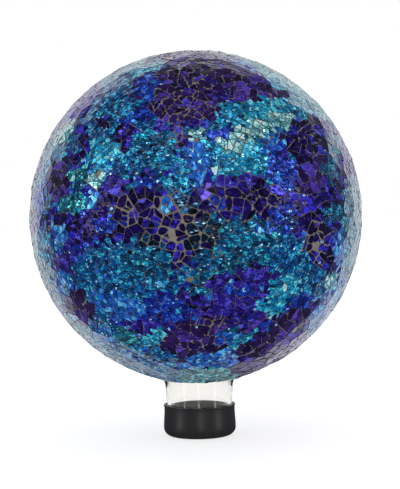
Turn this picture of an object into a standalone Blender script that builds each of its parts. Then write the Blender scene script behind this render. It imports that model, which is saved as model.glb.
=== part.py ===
"""Mosaic gazing globe: a blown glass globe with an open neck, a skin of flat glass shards set in grout,
and a soft black cap on the neck, which the globe stands on.

Metres, +Z up. The origin is the centre of the cap's flat underside.
Run with: blender --background --python part.py
"""

import math
import random

import bmesh
import bpy
from mathutils import Vector

# Globe and its skin
GLOBE_DIAMETER = 0.254  # across opposite shards, a ten inch globe
MOSAIC_DEPTH = 0.0025  # shards and the grout bed under them
MOSAIC_EDGE_DEPTH = 0.0018  # the same, thinned out around the neck
MOSAIC_STOP = 0.0018  # the skin ends this far above the globe's lowest level
GLOBE_WALL = 0.002  # blown glass of the ball
SHARD_COUNT = 720  # flat plates of crackled glass round the whole globe
SHARD_SCATTER = 0.36  # how far a plate strays from an even layout, as a share of the spacing
SHARD_SEED = 11

# Neck, from the globe's lowest level down to its mouth
NECK_WALL = 0.003  # the glass gathers there
NECK_LENGTH = 0.0375
NECK_ROOT_DIAMETER = 0.0518  # where the straight neck meets the hollow curve under the globe
NECK_MOUTH_DIAMETER = 0.0474
NECK_CURVE = 0.012  # radius of that hollow curve, on the outside of the glass

# Cap, a thick cup of black rubber
CAP_HEIGHT = 0.0242
CAP_FLOOR = 0.0035
CAP_DIAMETER = 0.0556  # at its low bulge
CAP_WAIST_DIAMETER = 0.0543
CAP_WAIST_LEVEL = 0.0185
CAP_LIP_DIAMETER = 0.0553
CAP_LIP_BEAD = 0.0008  # radius of the rolled bead round the mouth
CAP_CORNER = 0.0064  # rounded foot

# Fit and fineness
FIT_GAP = 0.0003  # left between pieces that touch
SIDES = 36  # of every turned piece
GLOBE_RINGS = 17
CURVE_RINGS = 5
MERGE = 0.00001

# Levels and radii that follow from the sizes above
MOUTH_Z = CAP_FLOOR + FIT_GAP
GLOBE_LOW_Z = MOUTH_Z + NECK_LENGTH
GLOBE_RADIUS = GLOBE_DIAMETER / 2
CENTRE_Z = GLOBE_LOW_Z + GLOBE_RADIUS
GLASS_RADIUS = GLOBE_RADIUS - MOSAIC_DEPTH
ROOT_RADIUS = NECK_ROOT_DIAMETER / 2
MOUTH_RADIUS = NECK_MOUTH_DIAMETER / 2

CURVE_R = ROOT_RADIUS + NECK_CURVE  # the hollow curve's centre, out from the axis


def polar(centre_r, centre_z, radius, angle):
    """A profile point at an angle from straight up, clockwise."""
    return centre_r + radius * math.sin(angle), centre_z + radius * math.cos(angle)


def arc(centre_r, centre_z, radius, start, end, steps):
    """Profile points along an arc, both ends included."""
    return [polar(centre_r, centre_z, radius, start + (end - start) * i / steps) for i in range(steps + 1)]


def hollow_curve(ball_radius, curve_radius):
    """Where the curve under the globe lies: its centre's level, and its angle where it leaves the globe."""
    drop = math.sqrt((ball_radius + curve_radius) ** 2 - CURVE_R**2)
    return CENTRE_Z - drop, -math.atan2(CURVE_R, drop)


def glass_line(ball_depth, neck_depth):
    """Profile from the top of the globe to its mouth, this far under the outside of the glass."""
    ball_radius = GLASS_RADIUS - ball_depth
    curve_radius = NECK_CURVE + neck_depth
    curve_z, curve_start = hollow_curve(ball_radius, curve_radius)
    globe = arc(0, CENTRE_Z, ball_radius, 0, curve_start + math.pi, GLOBE_RINGS)
    curve = arc(CURVE_R, curve_z, curve_radius, curve_start, -math.pi / 2, CURVE_RINGS)
    return globe + curve[1:] + [(MOUTH_RADIUS - neck_depth, MOUTH_Z)]


def neck_radius(z):
    """Outer radius of the neck at a level below its root."""
    root_z = hollow_curve(GLASS_RADIUS, NECK_CURVE)[0]
    return MOUTH_RADIUS + (ROOT_RADIUS - MOUTH_RADIUS) * (z - MOUTH_Z) / (root_z - MOUTH_Z)


def material(name, colour, roughness, metallic=0.0, transmission=0.0):
    """A plain Principled BSDF finish."""
    made = bpy.data.materials.new(name)
    made.use_nodes = True
    shader = made.node_tree.nodes["Principled BSDF"]
    shader.inputs["Base Color"].default_value = (*colour, 1)
    shader.inputs["Roughness"].default_value = roughness
    shader.inputs["Metallic"].default_value = metallic
    shader.inputs["Transmission Weight"].default_value = transmission
    return made


def turned(name, profile, collection):
    """A solid of revolution about Z from (radius, height) points that run down the outer side."""
    mesh = bpy.data.meshes.new(name)
    edges = [(i, i + 1) for i in range(len(profile) - 1)]
    mesh.from_pydata([(r, 0, z) for r, z in profile], edges, [])
    made = bpy.data.objects.new(name, mesh)
    collection.objects.link(made)
    screw = made.modifiers.new("Turn", "SCREW")
    screw.steps = SIDES
    screw.render_steps = SIDES
    screw.use_merge_vertices = True
    screw.merge_threshold = MERGE
    return made


def shard_directions():
    """One outward direction for each plate: an even spiral layout, loosened at random.

    Five plates face straight along X, Y and up, so that the globe measures its full diameter there.
    """
    draw = random.Random(SHARD_SEED)
    square = [Vector((1, 0, 0)), Vector((0, 1, 0)), Vector((-1, 0, 0)), Vector((0, -1, 0)), Vector((0, 0, 1))]
    spacing = math.sqrt(4 * math.pi / SHARD_COUNT)
    turn = math.pi * (3 - math.sqrt(5))
    found = list(square)
    for i in range(SHARD_COUNT):
        z = 1 - (2 * i + 1) / SHARD_COUNT
        ring = math.sqrt(1 - z * z)
        even = Vector((ring * math.cos(turn * i), ring * math.sin(turn * i), z))
        stray = Vector((draw.gauss(0, 1), draw.gauss(0, 1), draw.gauss(0, 1)))
        loose = (even + stray * SHARD_SCATTER * spacing / 2).normalized()
        if all((loose - fixed).length > spacing * 0.6 for fixed in square):
            found.append(loose)
    return found


def hull(points):
    """Convex hull of points, as a bmesh."""
    bm = bmesh.new()
    for point in points:
        bm.verts.new(point)
    shell = bmesh.ops.convex_hull(bm, input=bm.verts, use_existing_faces=False)
    loose = set(shell["geom_interior"]) | set(shell["geom_unused"])
    bmesh.ops.delete(bm, geom=[g for g in loose if isinstance(g, bmesh.types.BMVert)], context="VERTS")
    return bm


def plated_ball(name, collection):
    """A ball made of flat plates, each touching the globe's true sphere at its middle.

    Three plates meet where their planes cross, and those corners come from the hull of the directions.
    """
    between = hull(shard_directions())
    corners = []
    for face in between.faces:
        normal = face.normal.copy()
        corners.append(normal * (GLOBE_RADIUS / normal.dot(face.verts[0].co)))
    between.free()
    ball = hull(corners)
    bmesh.ops.recalc_face_normals(ball, faces=ball.faces)
    bmesh.ops.translate(ball, verts=ball.verts, vec=(0, 0, CENTRE_Z))
    mesh = bpy.data.meshes.new(name)
    ball.to_mesh(mesh)
    ball.free()
    made = bpy.data.objects.new(name, mesh)
    collection.objects.link(made)
    return made


def cutter(made):
    """Marks an object that only shapes another one."""
    made.hide_render = True
    made.display_type = "WIRE"
    return made


def boolean(target, other, operation):
    """Joins or cuts target with another solid."""
    step = target.modifiers.new(operation.title(), "BOOLEAN")
    step.operation = operation
    step.object = other
    step.solver = "EXACT"


def glass_globe(collection):
    """Blown globe and neck in one hollow piece, open at the mouth, with a rounded rim there."""
    outside = glass_line(0, 0)
    inside = glass_line(GLOBE_WALL, NECK_WALL)
    rim_radius = NECK_WALL / 2
    rim = arc(MOUTH_RADIUS - rim_radius, MOUTH_Z + rim_radius, rim_radius, math.pi / 2, math.pi * 1.5, 4)
    made = turned("glass_globe", outside[:-1] + rim + inside[-2::-1], collection)
    made.data.materials.append(material("clear_glass", (0.93, 0.95, 0.94), 0.03, transmission=1.0))
    return made


def neck_skirt(collection):
    """The stretch of skin that follows the hollow curve round the neck, down to where the skin stops."""
    curve_radius = NECK_CURVE - MOSAIC_EDGE_DEPTH
    curve_z, curve_start = hollow_curve(GLOBE_RADIUS, curve_radius)
    stop_z = GLOBE_LOW_Z + MOSAIC_STOP
    curve_end = -math.pi / 2 + math.asin((stop_z - curve_z) / curve_radius)
    line = arc(CURVE_R, curve_z, curve_radius, curve_start, curve_end, CURVE_RINGS)
    start_r, start_z = line[0]
    top_z = start_z + MOSAIC_DEPTH
    return cutter(turned("neck_skirt", [(0, top_z), (start_r, top_z)] + line[1:] + [(0, stop_z)], collection))


def mosaic_skin(collection, tools):
    """Flat glass shards and their grout, as one shell over the glass, open round the neck."""
    made = plated_ball("mosaic_skin", collection)
    core_line = glass_line(-FIT_GAP, -FIT_GAP)
    core = cutter(turned("skin_core", core_line + [(0, MOUTH_Z)], tools))
    boolean(made, neck_skirt(tools), "UNION")
    boolean(made, core, "DIFFERENCE")
    made.data.materials.append(material("mosaic_glass", (0.02, 0.09, 0.35), 0.18, metallic=0.6))
    return made


def neck_cap(collection):
    """Rubber cup pushed over the mouth: flat foot, rounded corner, low bulge, waist and rolled lip."""
    bead_r = CAP_LIP_DIAMETER / 2 - CAP_LIP_BEAD
    bead_z = CAP_HEIGHT - CAP_LIP_BEAD
    corner_r = CAP_DIAMETER / 2 - CAP_CORNER
    bore = [(0, CAP_FLOOR)] + [(neck_radius(z) + FIT_GAP, z) for z in (CAP_FLOOR, CAP_HEIGHT)]
    bead = arc(bead_r, bead_z, CAP_LIP_BEAD, 0, math.pi * 0.8, 4)
    waist = [(CAP_WAIST_DIAMETER / 2, CAP_WAIST_LEVEL)]
    foot = arc(corner_r, CAP_CORNER, CAP_CORNER, math.pi / 2, math.pi, 5)
    made = turned("neck_cap", bore + bead + waist + foot + [(0, 0)], collection)
    made.data.materials.append(material("black_rubber", (0.018, 0.018, 0.02), 0.45))
    return made


def main():
    for old in list(bpy.data.objects):
        bpy.data.objects.remove(old)
    scene = bpy.context.scene
    parts = bpy.data.collections.new("mosaic_gazing_globe")
    tools = bpy.data.collections.new("cutters")
    scene.collection.children.link(parts)
    scene.collection.children.link(tools)
    glass_globe(parts)
    mosaic_skin(parts, tools)
    neck_cap(parts)


main()
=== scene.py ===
# %% [markdown]
# # A mosaic gazing globe
#
# This notebook dresses the solids of a garden gazing globe. The real thing is a blown glass ball with a
# short open neck. Shards of coloured, crackled glass are bonded over the ball, grout fills the joints
# between them, and a soft black cap closes the neck. The solids give every size, so they are loaded first
# and measured, and nothing here moves or resizes them.

# %% Load the solids
import math
import random

import bmesh
import bpy
import numpy as np
from mathutils import Matrix, Vector, noise


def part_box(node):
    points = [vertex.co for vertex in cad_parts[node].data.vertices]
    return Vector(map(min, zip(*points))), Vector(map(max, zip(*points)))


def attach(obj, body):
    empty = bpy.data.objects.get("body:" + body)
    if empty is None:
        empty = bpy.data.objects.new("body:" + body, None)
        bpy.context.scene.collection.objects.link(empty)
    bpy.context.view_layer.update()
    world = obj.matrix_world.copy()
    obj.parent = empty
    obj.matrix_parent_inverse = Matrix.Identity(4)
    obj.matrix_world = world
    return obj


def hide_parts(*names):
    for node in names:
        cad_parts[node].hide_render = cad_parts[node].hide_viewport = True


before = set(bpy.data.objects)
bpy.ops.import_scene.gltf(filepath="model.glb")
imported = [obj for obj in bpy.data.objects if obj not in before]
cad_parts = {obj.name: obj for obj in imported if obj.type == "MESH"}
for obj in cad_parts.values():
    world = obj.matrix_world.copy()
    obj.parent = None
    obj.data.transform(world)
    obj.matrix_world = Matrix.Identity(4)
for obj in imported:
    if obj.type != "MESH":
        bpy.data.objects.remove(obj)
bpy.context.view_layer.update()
MM = 0.001

# %% [markdown]
# ## Sizes
#
# The boxes around the solids give the main sizes: how wide the skin is, where the glass starts below it,
# and where the cap ends. The few sizes that a box can't show, such as the curve between ball and neck,
# are repeated from the design of the solids.

# %% Measure the globe
skin_low, skin_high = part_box("mosaic_skin")
glass_low, glass_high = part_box("glass_globe")
cap_low, cap_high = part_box("neck_cap")
GLOBE_RADIUS = (skin_high.x - skin_low.x) / 2
CENTRE_Z = skin_high.z - GLOBE_RADIUS
GLASS_RADIUS = glass_high.z - CENTRE_Z
MOUTH_Z = glass_low.z
CAP_HEIGHT = cap_high.z
CAP_RADIUS = (cap_high.x - cap_low.x) / 2
SKIN_STOP_Z = skin_low.z
measured = {"globe radius": GLOBE_RADIUS, "glass radius": GLASS_RADIUS, "centre level": CENTRE_Z}
print("in mm:", {name: round(size / MM, 2) for name, size in measured.items()})

# %% Sizes of the walls and the neck
GLOBE_WALL = 2 * MM
NECK_WALL = 3 * MM
ROOT_RADIUS = 25.9 * MM  # where the straight neck meets the hollow curve under the globe
MOUTH_RADIUS = 23.7 * MM
NECK_CURVE = 12 * MM  # radius of that hollow curve
CURVE_R = ROOT_RADIUS + NECK_CURVE  # its centre, out from the axis
SKIN_EDGE_DEPTH = 1.8 * MM  # the mosaic, where it thins out round the neck
CAP_FLOOR = 3.5 * MM
CAP_WAIST_RADIUS = 27.15 * MM
CAP_WAIST_LEVEL = 18.5 * MM
CAP_LIP_RADIUS = 27.65 * MM
CAP_LIP_BEAD = 0.8 * MM  # radius of the rolled bead round the mouth
CAP_CORNER = 6.4 * MM  # rounded foot
CLEARANCE = 0.3 * MM  # left between pieces that touch
print("glass in mm:", round(GLOBE_WALL / MM, 1), "in the ball,", round(NECK_WALL / MM, 1), "in the neck")

# %% [markdown]
# ## Camera
#
# The photograph was taken about a metre away with a long lens, level with the middle of the globe. The
# globe leans about one degree on its foot there. The model stands straight, so the camera is rolled by
# that much instead. A Track To constraint could aim it, but that puts the target in the middle of the
# picture, so the aim is worked out from where the globe's centre falls.

# %% Place the camera
PICTURE_WIDTH, PICTURE_HEIGHT = 400, 489
FOCAL_PIXELS = 1297
CENTRE_PIXEL = (195.8, 216.9)
VIEW_DISTANCE = 1.0
LEAN = math.radians(1.12)
SENSOR = 36

camera = bpy.data.objects.new("camera", bpy.data.cameras.new("camera"))
bpy.context.scene.collection.objects.link(camera)
bpy.context.scene.camera = camera
camera.data.sensor_width = SENSOR
camera.data.lens = FOCAL_PIXELS / PICTURE_HEIGHT * SENSOR
right = Vector((math.cos(LEAN), 0, -math.sin(LEAN)))
up = Vector((math.sin(LEAN), 0, math.cos(LEAN)))
level = Matrix((right, up, Vector((0, -1, 0)))).transposed()
seen = Vector((CENTRE_PIXEL[0] - PICTURE_WIDTH / 2, PICTURE_HEIGHT / 2 - CENTRE_PIXEL[1], -FOCAL_PIXELS))
aim = seen.rotation_difference(Vector((0, 0, -1))).to_matrix()
camera.matrix_world = Matrix.Translation((0, -VIEW_DISTANCE, CENTRE_Z)) @ (level @ aim).to_4x4()
print("lens", round(camera.data.lens, 1), "mm, from", VIEW_DISTANCE, "m")

# %% [markdown]
# ## Studio
#
# A product like this is shot in a white tent with a few tall strip lights round it. The tent's white
# shows through the clear neck, and the strips are what the shards catch. One large soft light would be
# simpler, but small facets need narrow lights to sparkle in. The strips stand all the way round, so that
# the globe sparkles from every side. The picture itself sees only the white tent and a pale floor that
# runs into it, while the glass reflects dimmer ones, which keeps the dark shards dark.

# %% The tent
TENT_WHITE = 1.0
TENT_DIM = 0.07  # as the glass reflects it
world = bpy.data.worlds.new("tent")
bpy.context.scene.world = world
world.use_nodes = True
tent = world.node_tree
backdrop = tent.nodes["Background"]
backdrop.inputs["Color"].default_value = (1, 1, 1, 1)


def mirrored_rays(tree):
    """One for light that comes by way of a reflection, and none for light seen straight or through glass."""
    rays = tree.nodes.new("ShaderNodeLightPath")
    share = tree.nodes.new("ShaderNodeMath")
    share.operation = "SUBTRACT"
    share.use_clamp = True
    tree.links.new(rays.outputs["Is Glossy Ray"], share.inputs[0])
    tree.links.new(rays.outputs["Is Transmission Ray"], share.inputs[1])
    return share.outputs[0]


brightness = tent.nodes.new("ShaderNodeMapRange")
brightness.inputs["To Min"].default_value = TENT_WHITE
brightness.inputs["To Max"].default_value = TENT_DIM
tent.links.new(mirrored_rays(tent), brightness.inputs["Value"])
tent.links.new(brightness.outputs[0], backdrop.inputs["Strength"])
bpy.context.scene.view_settings.view_transform = "Standard"
print("the tent seen straight:", TENT_WHITE, "and in a reflection:", TENT_DIM)

# %% Strip lights
# degrees round from the camera to its right, degrees up, width and height in metres, glow
STRIPS = (
    (3, 12, 0.2, 1.2, 4.0),
    (62, 14, 0.2, 1.2, 6.0),
    (-66, 14, 0.2, 1.2, 6.0),
    (24, 52, 0.4, 0.4, 4.5),
    (-32, 50, 0.4, 0.4, 4.5),
    (130, 16, 0.2, 1.0, 1.6),
    (180, 8, 0.2, 0.9, 3.0),
    (230, 16, 0.2, 1.0, 1.6),
)
STRIP_DISTANCE = 1.7


def strip_light(turn, rise, width, height, glow):
    """An area light that looks at the globe's centre, with a set brightness however large it is."""
    data = bpy.data.lights.new("strip", "AREA")
    data.shape = "RECTANGLE"
    data.size, data.size_y = width, height
    data.energy = glow * math.pi * width * height
    made = bpy.data.objects.new("strip", data)
    turned_to, risen = math.radians(turn), math.radians(rise)
    level_out = Vector((math.sin(turned_to), -math.cos(turned_to), 0)) * math.cos(risen)
    out = level_out + Vector((0, 0, math.sin(risen)))
    made.location = Vector((0, 0, CENTRE_Z)) + out * STRIP_DISTANCE
    made.rotation_euler = out.to_track_quat("Z", "Y").to_euler()
    made.visible_camera = False
    made.visible_diffuse = False
    bpy.context.scene.collection.objects.link(made)


for strip in STRIPS:
    strip_light(*strip)
print("strip lights:", len(STRIPS))

# %% The floor
FLOOR_SIZE = 40
FLOOR_LOOK = {
    "Base Color": (0.42, 0.42, 0.42, 1),
    "Emission Color": (1, 1, 1, 1),
    "Emission Strength": 0.7,  # lifts the floor to the white of the tent
    "Roughness": 0.9,
    "Specular IOR Level": 0.1,
}
FLOOR_DIM = (0.1, 0.1, 0.105, 1)  # as the glass reflects it
bpy.ops.mesh.primitive_plane_add(size=FLOOR_SIZE)
floor = bpy.context.object
floor.name = "floor"
floor_paint = bpy.data.materials.new("pale_floor")
floor_paint.use_nodes = True
paint = floor_paint.node_tree
seen_floor = paint.nodes["Principled BSDF"]
for socket, value in FLOOR_LOOK.items():
    seen_floor.inputs[socket].default_value = value
dim_floor = paint.nodes.new("ShaderNodeBsdfDiffuse")
dim_floor.inputs["Color"].default_value = FLOOR_DIM
floor_mix = paint.nodes.new("ShaderNodeMixShader")
for i, source in enumerate((mirrored_rays(paint), seen_floor.outputs[0], dim_floor.outputs[0])):
    paint.links.new(source, floor_mix.inputs[i])
paint.links.new(floor_mix.outputs[0], paint.nodes["Material Output"].inputs["Surface"])
floor.data.materials.append(floor_paint)
print("floor:", FLOOR_SIZE, "m square")

# %% [markdown]
# ## Turned pieces
#
# The globe, its neck, the cap and the grout bed are all round, so each is a profile spun about the
# upright axis. A Screw modifier would do the same, and the spin tool of bmesh gives the finished mesh at
# once. The solids use a coarse spin. Here the same profiles are spun with far more sides, and the hollow
# curve under the globe is one true arc.

# %% Profiles


def polar(centre_r, centre_z, radius, angle):
    """A profile point at an angle from straight up, clockwise."""
    return centre_r + radius * math.sin(angle), centre_z + radius * math.cos(angle)


def arc(centre_r, centre_z, radius, start, end, steps):
    """Profile points along an arc, both ends included."""
    return [polar(centre_r, centre_z, radius, start + (end - start) * i / steps) for i in range(steps + 1)]


def hollow_curve(ball_radius, curve_radius):
    """The curve under the globe: its centre's level, and its angle where it leaves the globe."""
    drop = math.sqrt((ball_radius + curve_radius) ** 2 - CURVE_R**2)
    return CENTRE_Z - drop, -math.atan2(CURVE_R, drop)


def glass_line(ball_depth, neck_depth, rings, curve_rings):
    """Profile from the top of the globe to its mouth, this far under the outside of the glass."""
    ball_radius = GLASS_RADIUS - ball_depth
    curve_radius = NECK_CURVE + neck_depth
    curve_z, start = hollow_curve(ball_radius, curve_radius)
    globe = arc(0, CENTRE_Z, ball_radius, 0, start + math.pi, rings)
    curve = arc(CURVE_R, curve_z, curve_radius, start, -math.pi / 2, curve_rings)
    return globe + curve[1:] + [(MOUTH_RADIUS - neck_depth, MOUTH_Z)]


def neck_radius(z):
    """Outer radius of the neck at a level below its root."""
    root_z = hollow_curve(GLASS_RADIUS, NECK_CURVE)[0]
    return MOUTH_RADIUS + (ROOT_RADIUS - MOUTH_RADIUS) * (z - MOUTH_Z) / (root_z - MOUTH_Z)


print("the neck is", round(2 * neck_radius(MOUTH_Z) / MM, 1), "mm across at its mouth")

# %% Spin a profile
MERGE_DISTANCE = 1e-6


def spun(name, profile, sides):
    """A closed solid of revolution from (radius, height) points that run down the outer side."""
    bm = bmesh.new()
    line = [bm.verts.new((r, 0, z)) for r, z in profile]
    edges = [bm.edges.new(pair) for pair in zip(line, line[1:])]
    bmesh.ops.spin(bm, geom=line + edges, cent=(0, 0, 0), axis=(0, 0, 1), angle=math.tau, steps=sides)
    bmesh.ops.remove_doubles(bm, verts=bm.verts, dist=MERGE_DISTANCE)
    bmesh.ops.recalc_face_normals(bm, faces=bm.faces)
    mesh = bpy.data.meshes.new(name)
    bm.to_mesh(mesh)
    bm.free()
    mesh.shade_smooth()
    made = bpy.data.objects.new(name, mesh)
    bpy.context.scene.collection.objects.link(made)
    return made


def dressed(piece, material_slot, *nodes):
    """Fixes a piece to the body and lets it stand for the solids given. The name of a finish that it takes
    is not used.
    """
    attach(piece, "root")
    if nodes:
        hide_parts(*nodes)
    print(piece.name, "faces:", len(piece.data.polygons))
    return piece


# %% [markdown]
# ## Cap
#
# The cap is a thick cup of soft black rubber pushed over the mouth. It has a rolled lip, a slight waist
# below it, a low bulge where the glass inside stops, and a rounded foot. A cylinder with bevels and some
# sculpting could be made to look like it. All of it is round, though, so one profile holds every curve.

# %% Shape the cap
CAP_SIDES = 128
BEAD_START, BEAD_END = -math.pi * 0.3, math.pi * 0.82  # how far the lip is rolled
BEAD_STEPS, FOOT_STEPS = 10, 14
LIP_DROPS = (1.0, 1.4, 3.0)  # millimetres under the lip, where the wall already runs straight
BULGE_INSET = 0.12 * MM
BULGE_RISE = 4 * MM
bead_z = CAP_HEIGHT - CAP_LIP_BEAD
bead_r = CAP_LIP_RADIUS - CAP_LIP_BEAD
corner_r = CAP_RADIUS - CAP_CORNER
bore = [(0, CAP_FLOOR), (neck_radius(MOUTH_Z) + CLEARANCE, CAP_FLOOR)]
bore.append((neck_radius(bead_z) + CLEARANCE, bead_z))
bead = arc(bead_r, bead_z, CAP_LIP_BEAD, BEAD_START, BEAD_END, BEAD_STEPS)
waist = [(CAP_WAIST_RADIUS, bead_z - drop * MM) for drop in LIP_DROPS]
waist.append((CAP_WAIST_RADIUS, CAP_WAIST_LEVEL))
bulge = [(CAP_RADIUS - BULGE_INSET, CAP_CORNER + BULGE_RISE)]
foot = arc(corner_r, CAP_CORNER, CAP_CORNER, math.pi / 2, math.pi, FOOT_STEPS)
cap = spun("rubber_cap", bore + bead + waist + bulge + foot + [(0, 0)], CAP_SIDES)
dressed(cap, "black_rubber", "neck_cap")

# %% [markdown]
# ## Glass
#
# The ball and its neck are one blown piece, thin in the ball and thicker in the neck, with a fire-polished
# rim at the mouth. A Solidify modifier would give one even wall, but this wall changes from ball to neck.
# So the inside and the outside are two profiles joined by the rim. The dark lines down the sides of the
# neck come from light that is caught inside that wall.

# %% Shape the blown glass
BALL_RINGS, CURVE_RINGS, RIM_RINGS = 64, 16, 8
GLASS_SIDES = 144
outside = glass_line(0, 0, BALL_RINGS, CURVE_RINGS)
inside = glass_line(GLOBE_WALL, NECK_WALL, BALL_RINGS, CURVE_RINGS)
rim_r = NECK_WALL / 2
rim = arc(MOUTH_RADIUS - rim_r, MOUTH_Z + rim_r, rim_r, math.pi / 2, math.pi * 1.5, RIM_RINGS)
blown = spun("blown_glass", outside[:-1] + rim + inside[-2::-1], GLASS_SIDES)
dressed(blown, "clear_glass", "glass_globe")

# %% [markdown]
# ## Plates
#
# The mosaic was made by laying flat plates of glass round the ball. Each plate touches the true sphere at
# its middle and meets its neighbours where their planes cross. The faces of an ico sphere are flat too,
# but they are all alike. The solids were made from loosened spots with the same seed as here, so the
# plates found here lie exactly on the flats of the solid skin.

# %% Where the plates lie
PLATE_COUNT = 720
PLATE_SCATTER = 0.36  # how far a plate strays from an even layout, as a share of the spacing
PLATE_SEED = 11
SPACING = math.sqrt(4 * math.pi / PLATE_COUNT)
SQUARE_WAYS = ((1, 0, 0), (0, 1, 0), (-1, 0, 0), (0, -1, 0), (0, 0, 1))  # these plates set the globe's width
CROWDED = 0.6  # a plate nearer than this share of the spacing to one of them is left out
GOLDEN_TURN = math.pi * (3 - math.sqrt(5))  # spreads points evenly over a ball


def plate_directions():
    """One outward direction for each plate: an even spiral layout, loosened at random."""
    draw = random.Random(PLATE_SEED)
    square = [Vector(way) for way in SQUARE_WAYS]
    found = list(square)
    for i in range(PLATE_COUNT):
        z = 1 - (2 * i + 1) / PLATE_COUNT
        ring = math.sqrt(1 - z * z)
        even = Vector((ring * math.cos(GOLDEN_TURN * i), ring * math.sin(GOLDEN_TURN * i), z))
        stray = Vector((draw.gauss(0, 1), draw.gauss(0, 1), draw.gauss(0, 1)))
        loose = (even + stray * PLATE_SCATTER * SPACING / 2).normalized()
        if all((loose - fixed).length > SPACING * CROWDED for fixed in square):
            found.append(loose)
    return found


DIRECTIONS = plate_directions()
print("plates:", len(DIRECTIONS))

# %% [markdown]
# ## Cutting glass
#
# Everything flat in the mosaic is a convex outline, and every cut is a straight line. A fracture tool
# could break a solid, but it is slow for thousands of bits and can't keep the joints even. Three small
# tools do all the work here: one trims an outline along a line, one pares it all round to leave a joint,
# and one splits it into a cell for each of a set of spots, which is how crackled glass breaks.

# %% Trim, pare and split
SHORTEST_SIDE = 1e-7


def trimmed(outline, a, b, c):
    """The part of a convex outline where a*x + b*y is at most c."""
    kept = []
    for (x0, y0), (x1, y1) in zip(outline, outline[1:] + outline[:1]):
        over0 = a * x0 + b * y0 - c
        over1 = a * x1 + b * y1 - c
        if over0 <= 0:
            kept.append((x0, y0))
        if over0 * over1 < 0:
            t = over0 / (over0 - over1)
            kept.append((x0 + (x1 - x0) * t, y0 + (y1 - y0) * t))
    return kept


def pared(outline, margin):
    """The outline with this much taken off all round. It runs anticlockwise."""
    kept = outline
    for (x0, y0), (x1, y1) in zip(outline, outline[1:] + outline[:1]):
        length = math.hypot(x1 - x0, y1 - y0)
        if length > SHORTEST_SIDE and len(kept) > 2:
            a, b = (y1 - y0) / length, (x0 - x1) / length
            kept = trimmed(kept, a, b, a * x0 + b * y0 - margin)
    return kept


def split(outline, spots):
    """The outline cut into the cell of each spot."""
    cells = []
    for sx, sy in spots:
        cell = outline
        for ox, oy in sorted(spots, key=lambda s: (s[0] - sx) ** 2 + (s[1] - sy) ** 2)[1:]:
            reach = max(math.hypot(x - sx, y - sy) for x, y in cell)
            if math.hypot(ox - sx, oy - sy) > 2 * reach:
                break
            cell = trimmed(cell, ox - sx, oy - sy, (ox * ox + oy * oy - sx * sx - sy * sy) / 2)
            if len(cell) < 3:
                break
        if len(cell) > 2:
            cells.append(cell)
    return cells


TILE = [(0, 0), (10, 0), (10, 10), (0, 10)]
print("a tile of 10 by 10, pared by 1:", pared(TILE, 1))

# %% Crackle an outline
COUNT_SPREAD = 0.3  # how far chance shifts the number of cells
SPOT_REACH = 0.8  # share of an outline's reach that its spots lie within
EVENINGS = 1  # times the cells are evened out


def middle(outline):
    """The mean of an outline's corners."""
    return sum(x for x, y in outline) / len(outline), sum(y for x, y in outline) / len(outline)


def area(outline):
    """The surface inside an outline."""
    pairs = zip(outline, outline[1:] + outline[:1])
    return sum(x0 * y1 - x1 * y0 for (x0, y0), (x1, y1) in pairs) / 2


def softened(outline, share):
    """The outline with every corner cut off."""
    kept = []
    for (x0, y0), (x1, y1), (x2, y2) in zip(outline[-1:] + outline[:-1], outline, outline[1:] + outline[:1]):
        kept.append((x1 + (x0 - x1) * share, y1 + (y0 - y1) * share))
        kept.append((x1 + (x2 - x1) * share, y1 + (y2 - y1) * share))
    return kept


def crackled(outline, pitch, draw):
    """The outline broken into cells about one pitch across. Nothing comes of an outline that is used up."""
    if len(outline) < 3:
        return []
    centre_x, centre_y = middle(outline)
    reach = max(math.hypot(x - centre_x, y - centre_y) for x, y in outline)
    count = max(1, round(area(outline) / pitch**2 + draw.uniform(-COUNT_SPREAD, COUNT_SPREAD)))
    spots = []
    for i in range(count):
        turn, out = draw.uniform(0, math.tau), reach * SPOT_REACH * math.sqrt(draw.random())
        spots.append((centre_x + out * math.cos(turn), centre_y + out * math.sin(turn)))
    cells = split(outline, spots)
    for i in range(EVENINGS):
        cells = split(outline, [middle(cell) for cell in cells])
    return cells


print("the same tile, crackled at a pitch of 3:", len(crackled(TILE, 3, random.Random(1))), "cells")

# %% [markdown]
# ## Colours
#
# The maker swept each colour of glass across the globe in loose strokes, one over the other. A painted
# image would need a flat map of the ball and would blur at the edges of the bits. Strokes in code give
# every bit one clean colour instead. The strokes on the front are listed one by one: where each lies as seen
# from a metre away, how long and wide it is, and how it turns. The strokes on the rest of the globe are
# drawn at random in the same sizes. A few strays of a kin glass fall into every stroke.
#
# A lay is a glass and the way it is laid. Where the glass is loose, the bits are large and far apart, and
# where it is smooth they are larger still and close.

# %% The glasses and how each is laid
# each glass from its deepest tone through its body to its brightest, as screen values
GLASSES = {
    "indigo": ((6, 0, 30), (19, 3, 84), (50, 44, 208)),
    "violet": ((14, 4, 62), (36, 22, 132), (84, 84, 236)),
    "plum": ((18, 4, 42), (40, 20, 84), (78, 58, 170)),
    "cobalt": ((2, 14, 70), (10, 40, 150), (50, 112, 246)),
    "azure": ((4, 36, 100), (20, 90, 182), (88, 178, 250)),
    "cerulean": ((0, 26, 60), (0, 77, 142), (52, 188, 248)),
    "teal": ((0, 26, 54), (0, 72, 118), (36, 184, 228)),
    "sea": ((0, 40, 58), (6, 98, 120), (70, 212, 208)),
    "deep_teal": ((0, 7, 22), (0, 29, 58), (12, 96, 148)),
    "aqua": ((0, 60, 100), (2, 136, 180), (106, 232, 242)),
    "mint": ((36, 92, 108), (126, 190, 192), (240, 255, 250)),
    # painted highlight: a pale lilac glass for a few bits where a light glints
    "lilac": ((80, 60, 176), (98, 78, 190), (128, 112, 214)),
}
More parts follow.
